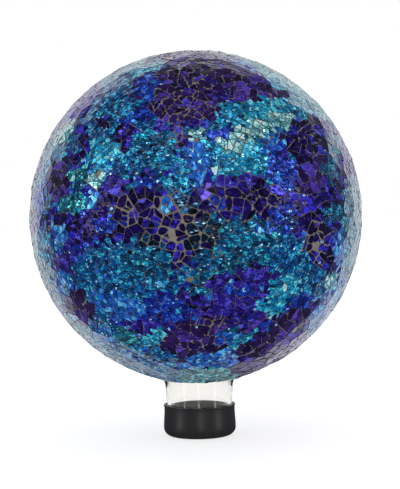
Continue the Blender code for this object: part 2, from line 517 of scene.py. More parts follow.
# the glasses that may stray into each
KIN = {
    "indigo": ("cobalt", "violet", "plum"),
    "violet": ("indigo", "cobalt", "azure"),
    "plum": ("indigo", "violet"),
    "cobalt": ("azure", "violet", "cerulean"),
    "azure": ("cobalt", "cerulean"),
    "cerulean": ("azure", "teal", "cobalt"),
    "teal": ("cerulean", "deep_teal", "sea"),
    "sea": ("teal", "aqua", "mint"),
    "deep_teal": ("teal", "indigo"),
    "aqua": ("teal", "cerulean", "mint"),
    "mint": ("aqua", "sea"),
}
STRAY = 0.1  # share of the bits that are strays
# glass, bit size, crack between bits and joint round a shard in millimetres, share of bits lost
LAYS = {
    "indigo": ("indigo", 4.2, 0.16, 0.34, 0.002),
    "smooth_indigo": ("indigo", 6.4, 0.14, 0.4, 0.0),
    "loose_indigo": ("indigo", 5.2, 0.36, 0.75, 0.02),
    "loose_teal": ("deep_teal", 5.0, 0.36, 0.75, 0.02),
    "violet": ("violet", 3.7, 0.12, 0.25, 0.001),
    "plum": ("plum", 4.4, 0.28, 0.42, 0.002),
    "smooth_plum": ("plum", 7.0, 0.1, 0.3, 0.0),
    "cobalt": ("cobalt", 3.3, 0.08, 0.25, 0.001),
    "azure": ("azure", 4.0, 0.12, 0.3, 0.001),
    "cerulean": ("cerulean", 3.0, 0.07, 0.24, 0.001),
    "teal": ("teal", 3.2, 0.07, 0.26, 0.001),
    "sea": ("sea", 3.0, 0.1, 0.3, 0.003),
    "deep_teal": ("deep_teal", 4.8, 0.18, 0.4, 0.002),
    "aqua": ("aqua", 3.1, 0.14, 0.3, 0.002),
    "mint": ("mint", 3.3, 0.24, 0.4, 0.006),
    "coarse_cerulean": ("cerulean", 3.8, 0.16, 0.3, 0.001),
}
print("glasses:", len(GLASSES), "in", len(LAYS), "lays")

# %% Strokes on the front
# lay, then millimetres to the right and up, half length, half width, and degrees of turn
FRONT_STROKES = (
    # broad areas
    ("cerulean", -62, 72, 62, 40, 30),
    ("plum", -5, 100, 42, 30, 0),
    ("teal", 60, 72, 55, 34, -25),
    ("aqua", 75, 100, 55, 12, -45),
    ("indigo", 88, 35, 40, 34, 80),
    ("cerulean", 0, 42, 22, 30, 0),
    ("indigo", -55, 0, 62, 24, 0),
    ("indigo", 50, 12, 55, 17, 0),
    ("teal", 40, -20, 52, 24, 0),
    ("indigo", 98, -15, 22, 30, 0),
    ("cerulean", -55, -50, 52, 34, 0),
    ("cobalt", -30, -75, 40, 18, 0),
    ("violet", 25, -66, 40, 22, 0),
    ("cerulean", 78, -45, 22, 28, 20),
    ("smooth_plum", 0, -98, 34, 18, 0),
    ("smooth_plum", 60, -98, 45, 24, 35),
    ("coarse_cerulean", -50, -104, 42, 16, -30),
    ("coarse_cerulean", -112, -35, 10, 30, 10),
    ("azure", 98, -80, 10, 30, -30),
    ("teal", 120, -20, 8, 50, 0),
    ("azure", 8, -113, 24, 7, 5),
    ("sea", 5, -123, 26, 6, 0),
    # upper left
    ("violet", -92, 82, 30, 8, 47),
    ("aqua", -35, 114, 14, 5, 20),
    ("cobalt", -36, 98, 8, 15, -15),
    ("cobalt", -45, 77, 14, 4, 10),
    ("indigo", -70, 74, 7, 3, 0),
    ("indigo", -53, 62, 9, 12, 15),
    ("aqua", -72, 52, 15, 10, 0),
    ("teal", -32, 56, 18, 12, 0),
    ("loose_indigo", -8, 58, 6, 7, 30),
    ("mint", -101, 66, 13, 5, 50),
    ("indigo", -86, 62, 4, 12, 5),
    ("indigo", -94, 46, 9, 5, 30),
    ("sea", -90, 34, 10, 7, 20),
    ("smooth_plum", -106, 30, 9, 13, -10),
    ("sea", -94, 13, 11, 9, 30),
    ("mint", -76, 30, 9, 5, 10),
    ("violet", -64, 26, 13, 6, 25),
    ("cobalt", -38, 30, 14, 7, 0),
    ("indigo", -32, 37, 9, 2.5, 8),
    ("aqua", -14, 30, 12, 8, 0),
    ("azure", -15, 38, 7, 3, 0),
    ("azure", 2, 42, 8, 20, 8),
    ("mint", 3, 63, 7, 6, 0),
    ("azure", -80, 14, 4, 5, 0),
    # across the middle
    ("indigo", -52, 12, 24, 10, 12),
    ("loose_indigo", -57, 2, 20, 12, 0),
    ("loose_indigo", -21, 2, 19, 15, 0),
    ("azure", -20, 12, 4, 5, 0),
    ("loose_teal", -9, 8, 7, 6, 0),
    ("loose_indigo", -12, -22, 12, 17, 0),
    # upper right
    ("plum", 2, 88, 20, 18, 0),
    ("smooth_plum", 38, 101, 37, 12, -14),
    ("violet", 24, 93, 9, 5, -10),
    ("violet", -12, 72, 24, 3, 0),
    ("aqua", 66, 103, 22, 4, -35),
    ("aqua", 53, 84, 29, 7, 8),
    ("aqua", 32, 81, 11, 5, 10),
    ("aqua", 30, 75, 16, 6, 15),
    ("cobalt", 25, 64, 15, 6, 10),
    ("aqua", 62, 86, 14, 4, 8),
    ("aqua", 40, 48, 24, 12, 0),
    ("aqua", 33, 36, 20, 7, 0),
    ("mint", 52, 67, 26, 9, 20),
    ("mint", 30, 57, 12, 6, 10),
    ("azure", 60, 55, 9, 9, 0),
    ("azure", 70, 66, 7, 4, 0),
    ("smooth_indigo", 90, 62, 9, 16, 0),
    ("cobalt", 68, 42, 10, 14, 20),
    ("smooth_plum", 92, 34, 12, 15, 0),
    ("teal", 106, 42, 6, 20, -10),
    ("violet", 32, 27, 26, 5, 0),
    ("cobalt", 68, 29, 12, 8, 0),
    ("smooth_indigo", 52, 10, 44, 11, 0),
    ("teal", 104, 0, 8, 7, 0),
    # lower left
    ("azure", -106, -10, 8, 8, 0),
    ("cobalt", -70, -5, 12, 6, 10),
    ("deep_teal", -36, -20, 10, 7, -30),
    ("violet", -103, -32, 10, 10, 0),
    ("azure", -104, -48, 6, 8, 20),
    ("smooth_plum", -91, -68, 14, 9, -60),
    ("cerulean", -76, -38, 18, 18, 0),
    ("teal", -38, -36, 22, 15, 0),
    ("cerulean", -58, -55, 24, 10, 0),
    ("azure", -62, -68, 22, 9, -25),
    ("cobalt", -18, -72, 11, 10, 20),
    ("violet", -40, -84, 20, 6, 0),
    ("aqua", -33, -92, 10, 7, 20),
    ("sea", -55, -92, 12, 6, -20),
    ("azure", -72, -90, 10, 6, -30),
    ("cerulean", -35, -110, 20, 7, -15),
    ("cobalt", -10, -50, 4, 8, 0),
    ("teal", 2, -50, 8, 12, 0),
    ("indigo", 0, -66, 8, 6, 0),
    # lower right
    ("deep_teal", 6, -14, 15, 15, 0),
    ("teal", 38, -22, 24, 18, 0),
    ("azure", 52, -9, 7, 6, -40),
    ("cobalt", 68, -2, 10, 9, 0),
    ("cerulean", 72, -27, 13, 13, 0),
    ("loose_indigo", 93, -20, 9, 20, 5),
    ("azure", 110, -26, 6, 14, 0),
    ("violet", 40, -49, 22, 10, 5),
    ("violet", 28, -70, 24, 13, 0),
    ("cobalt", 34, -58, 14, 4, -10),
    ("plum", 14, -82, 13, 6, 0),
    ("aqua", 58, -70, 12, 9, 30),
    ("aqua", 68, -55, 12, 8, 20),
    ("cobalt", 78, -68, 12, 5, 10),
    ("azure", 22, -93, 12, 5, 0),
    ("aqua", 38, -93, 24, 3.5, 33),
    ("cobalt", 52, -86, 9, 4, 20),
    ("azure", 22, -107, 7, 4, 30),
)
FRONT_LIMIT = 0.09  # how squarely a spot faces the front, with the visible edge of the globe at 0.127
print("strokes on the front:", len(FRONT_STROKES))

# %% Strokes round the rest
OTHER_STROKES = 260
STROKE_LENGTHS = (14 * MM, 38 * MM)
STROKE_WIDTHS = (6 * MM, 16 * MM)
STROKE_SEED = 29
MINT_EVERY = 31  # one stroke in this many is of the palest glass
COMMON = ("indigo", "indigo", "cerulean", "cerulean", "teal", "teal", "violet", "plum", "cobalt", "azure")
COMMON += ("aqua", "loose_indigo", "deep_teal", "sea")


def other_strokes():
    """Strokes anywhere on the globe: lay, place, direction along, half length and half width."""
    draw = random.Random(STROKE_SEED)
    found = []
    for i in range(OTHER_STROKES):
        place = Vector((draw.gauss(0, 1), draw.gauss(0, 1), draw.gauss(0, 1))).normalized()
        along = place.cross(Vector((draw.gauss(0, 0.5), draw.gauss(0, 0.5), 1))).normalized()
        lay = "mint" if i % MINT_EVERY == 0 else draw.choice(COMMON)
        found.append((lay, place, along, draw.uniform(*STROKE_LENGTHS), draw.uniform(*STROKE_WIDTHS)))
    return found


OTHERS = other_strokes()
print("strokes round the rest:", len(OTHERS))

# %% Which lay a spot gets
STROKE_REACH = 0.8  # spots further round the globe than this, as a cosine, are clear of a stroke
GROUND_PATCHES = 2.3  # scale of the two glasses that lie under all strokes


def inside_stroke(across, upward, half_length, half_width, turn=0.0):
    """Whether a spot, measured from a stroke's middle, lies on the stroke."""
    along = across * math.cos(turn) + upward * math.sin(turn)
    aside = upward * math.cos(turn) - across * math.sin(turn)
    return (along / half_length) ** 2 + (aside / half_width) ** 2 < 1


def seen_place(direction):
    """Where a spot is seen from the front, in millimetres to the right and up from the globe's centre."""
    shown = GLOBE_RADIUS / (1 + direction.y * GLOBE_RADIUS / VIEW_DISTANCE) / MM
    return direction.x * shown, direction.z * shown


def front_lay(direction):
    """The last stroke on the front that covers a spot, or None."""
    across, upward = seen_place(direction)
    for lay, right_mm, up_mm, half_length, half_width, turn in reversed(FRONT_STROKES):
        if inside_stroke(across - right_mm, upward - up_mm, half_length, half_width, math.radians(turn)):
            return lay
    return None


def other_lay(direction):
    """The last stroke on the rest of the globe that covers a spot, or the ground under the strokes."""
    for lay, place, along, half_length, half_width in reversed(OTHERS):
        if direction.dot(place) > STROKE_REACH:
            across = direction.dot(along) * GLOBE_RADIUS
            upward = direction.dot(place.cross(along)) * GLOBE_RADIUS
            if inside_stroke(across, upward, half_length, half_width):
                return lay
    return "teal" if noise.noise(direction * GROUND_PATCHES) > 0 else "cobalt"


def lay_at(direction):
    """The lay of a spot anywhere on the globe."""
    faces_front = -direction.y > FRONT_LIMIT
    return (faces_front and front_lay(direction)) or other_lay(direction)


print("the lay at the top of the globe:", lay_at(Vector((0, 0, 1))))

# %% [markdown]
# ## Breaking the plates
#
# Each plate is first cut into a few shards. A shard is pared to leave its grout joint and then cracked
# into bits, fine or coarse as its lay says. Every bit is pared by half a crack, some lose their sharp
# corners, and a few are lost. A real shard is laid with its bits still together, so the cracks in it are
# finer than the joints round it. Each bit then takes the glass at its own spot, which leaves a ragged
# edge where two strokes meet. A shader could draw such cracks, but they would be flat at the outline.

# %% Shards on a plate
PLATE_REACH = 16 * MM
NEIGHBOURS = 2.6  # spacings within which other plates can cut this one
ANY_WAY = Vector((0.31, 0.17, 0.93))  # only has to differ from the way every plate faces
NECK_EDGE = 30.4 * MM  # the mosaic starts this far from the axis
NEAR_NECK, UNDER_NECK = -0.8, -0.985  # plates that face down by more are cut there, or left out


def plate_axes(direction):
    """Two directions that lie in a plate."""
    first = direction.cross(ANY_WAY).normalized()
    return first, direction.cross(first)


def plate_outline(index):
    """Outline of a plate in its own plane, where the planes of its neighbours cross it."""
    normal = DIRECTIONS[index]
    if normal.z <= UNDER_NECK:
        return []
    first, second = plate_axes(normal)
    outline = [(-PLATE_REACH, -PLATE_REACH), (PLATE_REACH, -PLATE_REACH), (PLATE_REACH, PLATE_REACH)]
    outline.append((-PLATE_REACH, PLATE_REACH))
    for other in DIRECTIONS:
        if other is not normal and normal.dot(other) > 1 - (NEIGHBOURS * SPACING) ** 2 / 2:
            away = GLOBE_RADIUS * (1 - normal.dot(other))
            outline = trimmed(outline, first.dot(other), second.dot(other), away)
    level_out = Vector((normal.x, normal.y, 0))
    if normal.z < NEAR_NECK and outline:
        level_out.normalize()
        away = GLOBE_RADIUS * level_out.dot(normal) - NECK_EDGE
        outline = trimmed(outline, -level_out.dot(first), -level_out.dot(second), away)
    return outline


print("corners of the first plate:", len(plate_outline(0)))

# %% Crack every plate into bits
BREAK_SEED = 5
SHARD_PITCH = 8.6 * MM
SHARD_SLOPE = 0.025
BLUR = 1.6 * MM  # how far the edge of a stroke strays
JOINT_SPREAD = (0.3, 1.5)
CRACK_SPREAD = (0.4, 1.8)
COARSE = 4.2  # bits above this size have worn corners
WORN_SHARE = (0.1, 0.3)  # of a side, at each end
SLIVER = 0.3 * MM  # bits less than twice this wide crumble


def spot_direction(index, x, y):
    """The way from the globe's centre to a spot of a plate."""
    first, second = plate_axes(DIRECTIONS[index])
    return (DIRECTIONS[index] * GLOBE_RADIUS + first * x + second * y).normalized()


def lay_of(index, x, y, draw):
    """The lay at a spot of a plate, or close by."""
    return lay_at(spot_direction(index, x + draw.gauss(0, BLUR), y + draw.gauss(0, BLUR)))


def broken_plates():
    """Each bit as (glass name, plate number, outline, middle of its shard, slope of its shard)."""
    draw = random.Random(BREAK_SEED)
    found = []
    for index in range(len(DIRECTIONS)):
        for shard in crackled(plate_outline(index), SHARD_PITCH, draw):
            centre = middle(shard)
            shard_lay = lay_of(index, *centre, draw)
            bit, crack, joint, lost = LAYS[shard_lay][1:]
            uneven = 2 if shard_lay.startswith("loose") else 1
            slope = (draw.uniform(-SHARD_SLOPE, SHARD_SLOPE), draw.uniform(-SHARD_SLOPE, SHARD_SLOPE))
            shard = pared(shard, joint * draw.uniform(*JOINT_SPREAD) * MM / 2)
            for cell in crackled(shard, bit * MM, draw):
                cell = pared(cell, crack * draw.uniform(*CRACK_SPREAD) ** uneven * MM / 2)
                if len(pared(cell, SLIVER)) < 3 or draw.random() < lost:
                    continue
                if bit > COARSE:
                    cell = softened(cell, draw.uniform(*WORN_SHARE))
                glass = LAYS[lay_of(index, *middle(cell), draw)][0]
                if draw.random() < STRAY:
                    glass = draw.choice(KIN[glass])
                found.append((glass, index, cell, centre, slope))
    return found


BITS = broken_plates()
print("bits of glass:", len(BITS))

# %% [markdown]
# One shard near the middle of the front is pale lilac, unlike all the rest: a painted highlight, where a
# light glints. A stroke would take in its neighbours too, so the few bits nearest to its place are picked
# out and given a glass of their own.

# %% One pale shard, a painted highlight
PAINTED_HIGHLIGHT_PLACE = (10, 18)  # where it is seen from the front, in millimetres
PAINTED_HIGHLIGHT_BITS = 3
FAR = 1e6


def from_painted_highlight(bit):
    """How far a bit is seen from the painted highlight's place, which is tall and narrow."""
    index, outline = bit[1:3]
    direction = spot_direction(index, *middle(outline))
    across, upward = seen_place(direction)
    on_back = FAR if direction.y > 0 else 0
    return math.hypot(2 * (across - PAINTED_HIGHLIGHT_PLACE[0]), upward - PAINTED_HIGHLIGHT_PLACE[1]) + on_back


# painted highlight: the nearest bits take the pale lilac glass
for bit in sorted(BITS, key=from_painted_highlight)[:PAINTED_HIGHLIGHT_BITS]:
    BITS[BITS.index(bit)] = ("lilac", *bit[1:])
print("pale bits:", sum(bit[0] == "lilac" for bit in BITS))

# %% [markdown]
# ## Bits of glass
#
# A bit is a small slab: a flat top, with a slight bevel on the larger ones, upright sides, and a bottom
# sunk in the grout. No two lie quite level, which is what makes a mosaic glitter, so every shard has a
# small slope of its own and every bit another. Instances of one slab would be lighter, but no two bits
# have the same outline. Each bit carries a random tone for the finish to use, and a mark along its edge,
# where the mirror behind the glass stops short and the glass looks dim.

# %% Where a point of a bit ends up
SINK = 0.28 * MM  # tops lie this far under the true sphere, so that tilted ones stay inside it
TOP_STOP = -0.02 * MM  # and no corner rises above this
THICKNESS = 1.5 * MM
SKIRT_CURVE = NECK_CURVE - SKIN_EDGE_DEPTH
SKIRT_Z, SKIRT_START = hollow_curve(GLOBE_RADIUS, SKIRT_CURVE)
SKIRT_START_R = polar(CURVE_R, SKIRT_Z, SKIRT_CURVE, SKIRT_START)[0]
SKIRT_LIMIT = 0.999  # points nearer to the axis than this share of the curve stay at its end


def skirt_drop(radius):
    """How far the skin dips below the round of the ball on its way to the neck."""
    if radius >= SKIRT_START_R:
        return 0.0
    inner = max(radius, CURVE_R - SKIRT_CURVE * SKIRT_LIMIT)
    ball_z = CENTRE_Z - math.sqrt(GLOBE_RADIUS**2 - inner**2)
    return ball_z - (SKIRT_Z + math.sqrt(SKIRT_CURVE**2 - (CURVE_R - inner) ** 2))


def on_globe(normal, first, second, x, y, z):
    """A point of a plate, in the model's frame."""
    point = normal * (GLOBE_RADIUS + z) + first * x + second * y + Vector((0, 0, CENTRE_Z))
    if point.z < CENTRE_Z:
        point.z -= skirt_drop(math.hypot(point.x, point.y))
    return point


print("the skin starts to dip", round(SKIRT_START_R / MM, 1), "mm from the axis")

# %% Build the bits of one glass as one mesh
FINE_BIT = 3.6 * MM  # bits under this size have no bevel
BEVEL = 0.16 * MM
BEVEL_MARK = 0.7  # how much of an edge the inner line of a bevel is
DIM_EDGE = 0.32 * MM  # the mirror behind a bit stops this far from its edge
DIM_LIMIT = 0.3  # or at this share of a small bit's size
TILT_FINE = 0.08
TILT_COARSE = 0.05


def mosaic_mesh(name, bits, draw):
    """All the bits of one glass, each a closed slab, with their tones and edges as attributes."""
    verts, faces, tones, edges = [], [], [], []
    for _, index, outline, shard_middle, shard_slope in bits:
        normal = DIRECTIONS[index]
        first, second = plate_axes(normal)
        cx, cy = middle(outline)
        size = math.sqrt(area(outline))
        fine = size < FINE_BIT
        steep = TILT_FINE if fine else TILT_COARSE
        slope = (draw.uniform(-steep, steep), draw.uniform(-steep, steep))
        inner = 1 - 2 * min(DIM_EDGE, DIM_LIMIT * size) / size
        # the rings of a slab from the bottom up: scale, depth below the top or None, mark as an edge
        rings = [(1.0, None, 1.0), (1.0, 0.0, 1.0), (inner, 0.0, 0.0)]
        if not fine:
            rings[1:2] = [(1.0, -BEVEL, 1.0), (1 - 2 * BEVEL / size, 0.0, BEVEL_MARK)]
        start, sides = len(verts), len(outline)
        for scale, lower, edge in rings:
            edges += [edge] * sides
            for px, py in outline:
                x, y = cx + (px - cx) * scale, cy + (py - cy) * scale
                z = -SINK + slope[0] * (x - cx) + slope[1] * (y - cy)
                z += shard_slope[0] * (x - shard_middle[0]) + shard_slope[1] * (y - shard_middle[1])
                z = -THICKNESS if lower is None else min(z, TOP_STOP) + lower
                verts.append(on_globe(normal, first, second, x, y, z))
        faces.append(tuple(start + i for i in reversed(range(sides))))
        for ring in range(len(rings) - 1):
            low, high = start + ring * sides, start + (ring + 1) * sides
            for i in range(sides):
                after = (i + 1) % sides
                faces.append((low + i, low + after, high + after, high + i))
        faces.append(tuple(start + (len(rings) - 1) * sides + i for i in range(sides)))
        tones += [(draw.random(), draw.random(), draw.random(), 1.0)] * (sides * len(rings))
    mesh = bpy.data.meshes.new(name)
    mesh.from_pydata(verts, [], faces)
    tone = mesh.color_attributes.new("tone", "FLOAT_COLOR", "POINT")
    tone.data.foreach_set("color", np.array(tones, np.float32).ravel())
    mesh.attributes.new("edge", "FLOAT", "POINT").data.foreach_set("value", np.array(edges, np.float32))
    mesh.shade_flat()
    return mesh


# %% Lay every glass
mosaics = {}
for glass in GLASSES:
    chosen = [bit for bit in BITS if bit[0] == glass]
    mesh = mosaic_mesh(f"{glass}_mosaic", chosen, random.Random(f"tones of {glass}"))
    piece = bpy.data.objects.new(f"{glass}_mosaic", mesh)
    bpy.context.scene.collection.objects.link(piece)
    mosaics[glass] = dressed(piece, "mosaic_glass")
    mesh.calc_loop_triangles()
    print("  bits:", len(chosen), "triangles:", len(mesh.loop_triangles))

# %% [markdown]
# ## Grout
#
# Grout was wiped into the joints, so it lies just under the tops of the bits, follows the flats of the
# plates, and ends in a thin edge round the neck. Filling each joint with a strip of its own would take
# thousands of pieces that nobody sees the ends of. One spun shell over the glass does it, with its outer
# side pulled in to the planes of the plates and roughened.

# %% Shape the grout bed
GROUT_DEPTH = 0.85 * MM
GROUT_ROUGH = 0.09 * MM
ROUGH_SCALE = 150
BED_RINGS, BED_INNER_RINGS, SKIRT_RINGS = 120, 60, 10
BED_SIDES = 220
BED_FOOT = 1.1 * MM  # width of the edge round the neck
BED_FOOT_RISE = 0.5 * MM  # from that edge to the start of the bed's inner side
skirt_end = -math.pi / 2 + math.asin((SKIN_STOP_Z - SKIRT_Z) / SKIRT_CURVE)
bed_outer = arc(0, CENTRE_Z, GLOBE_RADIUS, 0, SKIRT_START + math.pi, BED_RINGS)
bed_outer += arc(CURVE_R, SKIRT_Z, SKIRT_CURVE, SKIRT_START, skirt_end, SKIRT_RINGS)[1:]
bed_inner = glass_line(-CLEARANCE, -CLEARANCE, BED_INNER_RINGS, CURVE_RINGS)
bed_inner = [(r, z) for r, z in bed_inner if z > SKIN_STOP_Z + BED_FOOT_RISE]
bed_foot = [(neck_radius(SKIN_STOP_Z) + BED_FOOT, SKIN_STOP_Z)]
bed = spun("grout_bed", bed_outer + bed_foot + bed_inner[::-1], BED_SIDES)


def press_between_plates(mesh):
    """Lowers the bed's outer side to just under the plates, with a fine roughness."""
    points = np.array([v.co for v in mesh.vertices]) - (0, 0, CENTRE_Z)
    reach = np.linalg.norm(points, axis=1)
    outward = points / reach[:, None]
    plane = GLOBE_RADIUS / (outward @ np.array(DIRECTIONS).T).max(axis=1)
    level_r = np.hypot(points[:, 0], points[:, 1])
    for i, vertex in enumerate(mesh.vertices):
        if reach[i] < (GLASS_RADIUS + GLOBE_RADIUS) / 2:
            continue
        rough = noise.noise(Vector(outward[i]) * ROUGH_SCALE) * GROUT_ROUGH
        on_skirt = points[i][2] < 0 and level_r[i] < SKIRT_START_R
        target = reach[i] if on_skirt else plane[i]
        vertex.co = Vector(outward[i]) * (target - GROUT_DEPTH + rough) + Vector((0, 0, CENTRE_Z))


press_between_plates(bed.data)
dressed(bed, "grout", "mosaic_skin")

# %% [markdown]
# ## Shared effects
#
# Three effects serve several finishes. One is a soft mottling, for grout, rubber and blown glass. One is
# the glitter of crackled glass: tiny facets that each lean their own way, tones that differ from bit to
# bit, a few painted glints, and dim edges. The third is what happens to that glass at a slant, with a
# painted sheen. Copying the nodes into each material would work, but a node group is built once and
# given each finish's own values.

# %% Helpers for nodes
MIX_SOCKETS = {"FLOAT": (2, 3, 0), "VECTOR": (4, 5, 1), "RGBA": (6, 7, 2)}  # two inputs and the result


def new_group(name, inputs, outputs):
    """An empty shader group with named sockets, and its input and output nodes."""
    group = bpy.data.node_groups.new(name, "ShaderNodeTree")
    for socket, kind, value in inputs:
        made = group.interface.new_socket(socket, in_out="INPUT", socket_type=f"NodeSocket{kind}")
        if value is not None:
            made.default_value = value
    for socket, kind in outputs:
        group.interface.new_socket(socket, in_out="OUTPUT", socket_type=f"NodeSocket{kind}")
    return group, group.nodes.new("NodeGroupInput"), group.nodes.new("NodeGroupOutput")


def add_node(tree, kind, values=(), **settings):
    """A node with settings, and values for its inputs by name or number."""
    node = tree.nodes.new(f"ShaderNode{kind}")
    for name, value in settings.items():
        setattr(node, name, value)
    for name, value in dict(values).items():
        if isinstance(value, bpy.types.NodeSocket):
            tree.links.new(value, node.inputs[name])
        else:
            node.inputs[name].default_value = value
    return node


def mixed(tree, kind, share, first, second):
    """Two numbers, vectors or colours mixed by a share. Gives the result's socket, as the next two do."""
    a, b, result = MIX_SOCKETS[kind]
    return add_node(tree, "Mix", {0: share, a: first, b: second}, data_type=kind).outputs[result]


def ranged(tree, value, start, end, low=0.0, high=1.0, curve="LINEAR"):
    """A value that runs from start to end, turned into one from low to high."""
    spread = {"Value": value, "From Min": start, "From Max": end, "To Min": low, "To Max": high}
    return add_node(tree, "MapRange", spread, interpolation_type=curve).outputs[0]


def worked(tree, kind, operation, *values):
    """The result of a Math or VectorMath node."""
    return add_node(tree, kind, dict(enumerate(values)), operation=operation).outputs[0]


def give_out(group, result, **sockets):
    """Links what a group has worked out to its outputs."""
    for name, socket in sockets.items():
        group.links.new(socket, result.inputs[name])
    print("group", group.name, "gives", ", ".join(sockets))


# %% Mottling
NOISE_RANGE = (0.3, 0.7)  # a noise texture seldom leaves it


def mottling_group():
    """A soft cloud of light and dark, with a fine grain over it."""
    inputs = [("Cloud Scale", "Float", 60.0), ("Grain Scale", "Float", 900.0), ("Grain Share", "Float", 0.5)]
    inputs += [("Low", "Float", 0.0), ("High", "Float", 1.0)]
    group, given, result = new_group("mottling", inputs, [("Value", "Float")])
    give = given.outputs
    place = add_node(group, "TexCoord").outputs["Object"]
    cloud = add_node(group, "TexNoise", {"Vector": place, "Scale": give["Cloud Scale"]}).outputs["Fac"]
    grain = add_node(group, "TexNoise", {"Vector": place, "Scale": give["Grain Scale"]}).outputs["Fac"]
    both = mixed(group, "FLOAT", give["Grain Share"], cloud, grain)
    give_out(group, result, Value=ranged(group, both, *NOISE_RANGE, give["Low"], give["High"]))
    return group


MOTTLING = mottling_group()

# %% Glitter
TONE_LOW, TONE_MID, TONE_HIGH = 0.18, 0.62, 0.96  # where a tone is deep, body and bright
# painted glints: a pale blue white that a few facets take in place of their tone, as if they caught a light
PAINTED_GLINT_COLOUR = (0.36, 0.76, 1.0, 1)
DIM_COLOUR = (0.002, 0.006, 0.012, 1)
FACET_ROUGHNESS = (0.1, 0.3)


def glitter_group():
    """Colour, roughness and normal of crackled glass, from three tones of one glass, with a few painted
    glints.
    """
    inputs = [("Deep", "Color", None), ("Body", "Color", None), ("Bright", "Color", None)]
    inputs += [("Facet Scale", "Float", 800.0), ("Facet Lean", "Float", 0.3), ("Facet Share", "Float", 0.5)]
    inputs += [("Spark", "Float", 0.05), ("Stretch", "Float", 1.0), ("Edge Share", "Float", 0.6)]
    outputs = [("Colour", "Color"), ("Roughness", "Float"), ("Normal", "Vector")]
    group, given, result = new_group("crackled_glass", inputs, outputs)
    give = given.outputs
    place = add_node(group, "TexCoord").outputs["Object"]
    flatness = add_node(group, "CombineXYZ", {"X": 1.0, "Y": 1.0, "Z": give["Stretch"]}).outputs[0]
    laid = worked(group, "VectorMath", "MULTIPLY", place, flatness)
    facets = add_node(group, "TexVoronoi", {"Vector": laid, "Scale": give["Facet Scale"]}).outputs["Color"]
    facet = add_node(group, "SeparateColor", {"Color": facets}).outputs

    lean = worked(group, "VectorMath", "SUBTRACT", facets, (0.5, 0.5, 0.5))
    lean = add_node(group, "VectorMath", {0: lean, "Scale": give["Facet Lean"]}, operation="SCALE")
    flat = add_node(group, "NewGeometry").outputs["Normal"]
    leaned = worked(group, "VectorMath", "ADD", flat, lean.outputs[0])
    leaned = worked(group, "VectorMath", "NORMALIZE", leaned)

    tone = add_node(group, "Attribute", attribute_name="tone").outputs["Color"]
    tone = add_node(group, "SeparateColor", {"Color": tone}).outputs["Red"]
    level = mixed(group, "FLOAT", give["Facet Share"], tone, facet["Red"])
    dark = mixed(group, "RGBA", ranged(group, level, TONE_LOW, TONE_MID), give["Deep"], give["Body"])
    lit = mixed(group, "RGBA", ranged(group, level, TONE_MID, TONE_HIGH), dark, give["Bright"])
    # painted glints: facets whose blue is over this limit take the pale glint colour
    limit = worked(group, "Math", "SUBTRACT", 1.0, give["Spark"])
    painted_glint_mask = worked(group, "Math", "GREATER_THAN", facet["Blue"], limit)
    with_painted_glints = mixed(group, "RGBA", painted_glint_mask, lit, PAINTED_GLINT_COLOUR)
    edge = add_node(group, "Attribute", attribute_name="edge").outputs["Fac"]
    dim = worked(group, "Math", "MULTIPLY", edge, give["Edge Share"])
    colour = mixed(group, "RGBA", dim, with_painted_glints, DIM_COLOUR)
    rough = ranged(group, facet["Green"], 0.0, 1.0, *FACET_ROUGHNESS)
    give_out(group, result, Colour=colour, Roughness=rough, Normal=leaned)
    return group


GLITTER = glitter_group()

# %% [markdown]
# ## Glass at a slant
#
# Towards the edge of the globe, crackled glass is seen at a slant. There it scatters the white of the
# tent, and that sheen is painted into its colour: the colour pales to a white with a little of its own
# tint, its gloss dulls, and the lean of its facets no longer shows. Dark glass starts to pale a little
# later. The underside near the neck gets less light, so the painted sheen is weaker there, which is
# painted shade. The effect is by the angle of the surface, as it is on the real thing. The group takes
# that angle from outside, because a Layer Weight node has to stay in the material itself.

# %% Glass at a slant
SLANT_START, DARK_START, SLANT_END = 0.49, 0.54, 0.84
# painted sheen: how far the colour pales to white at a slant
PAINTED_SHEEN_SHARE = 0.85  # how far the colour pales
DULL_START, DULL_END = 0.3, 0.66
DULL_ROUGHNESS = 0.75
UNDERSIDE, UNDERSIDE_END = -0.97, -0.8  # how far down a surface faces
# painted shade: facing down near the neck, only this share of the painted sheen is kept
UNDERSIDE_SHEEN_SHARE = 0.15


def slant_group():
    """Paints a pale sheen into a glass's colour, and dulls and flattens it, where the surface turns away
    from the eye; less on the underside, as painted shade.
    """
    inputs = [("Facing", "Float", 0.0), ("Start", "Float", SLANT_START), ("Pale", "Color", None)]
    inputs += [("Colour", "Color", None), ("Roughness", "Float", 0.2), ("Normal", "Vector", None)]
    outputs = [("Colour", "Color"), ("Roughness", "Float"), ("Normal", "Vector")]
    group, given, result = new_group("glass_at_a_slant_with_painted_sheen", inputs, outputs)
    give = given.outputs
    # painted sheen: the share of pale white mixed into the colour, by the angle
    painted_sheen_share = ranged(group, give["Facing"], give["Start"], SLANT_END, high=PAINTED_SHEEN_SHARE, curve="SMOOTHSTEP")
    dulling = ranged(group, give["Facing"], DULL_START, DULL_END, curve="SMOOTHSTEP")
    flat = add_node(group, "NewGeometry").outputs["Normal"]
    down = add_node(group, "SeparateXYZ", {0: flat}).outputs["Z"]
    # painted shade: less painted sheen where the surface faces down near the neck
    lit = ranged(group, down, UNDERSIDE, UNDERSIDE_END, UNDERSIDE_SHEEN_SHARE)
    share = worked(group, "Math", "MULTIPLY", painted_sheen_share, lit)
    colour = mixed(group, "RGBA", share, give["Colour"], give["Pale"])
    rough = mixed(group, "FLOAT", dulling, give["Roughness"], DULL_ROUGHNESS)
    normal = mixed(group, "VECTOR", painted_sheen_share, give["Normal"], flat)
    give_out(group, result, Colour=colour, Roughness=rough, Normal=normal)
    return group


SLANT = slant_group()

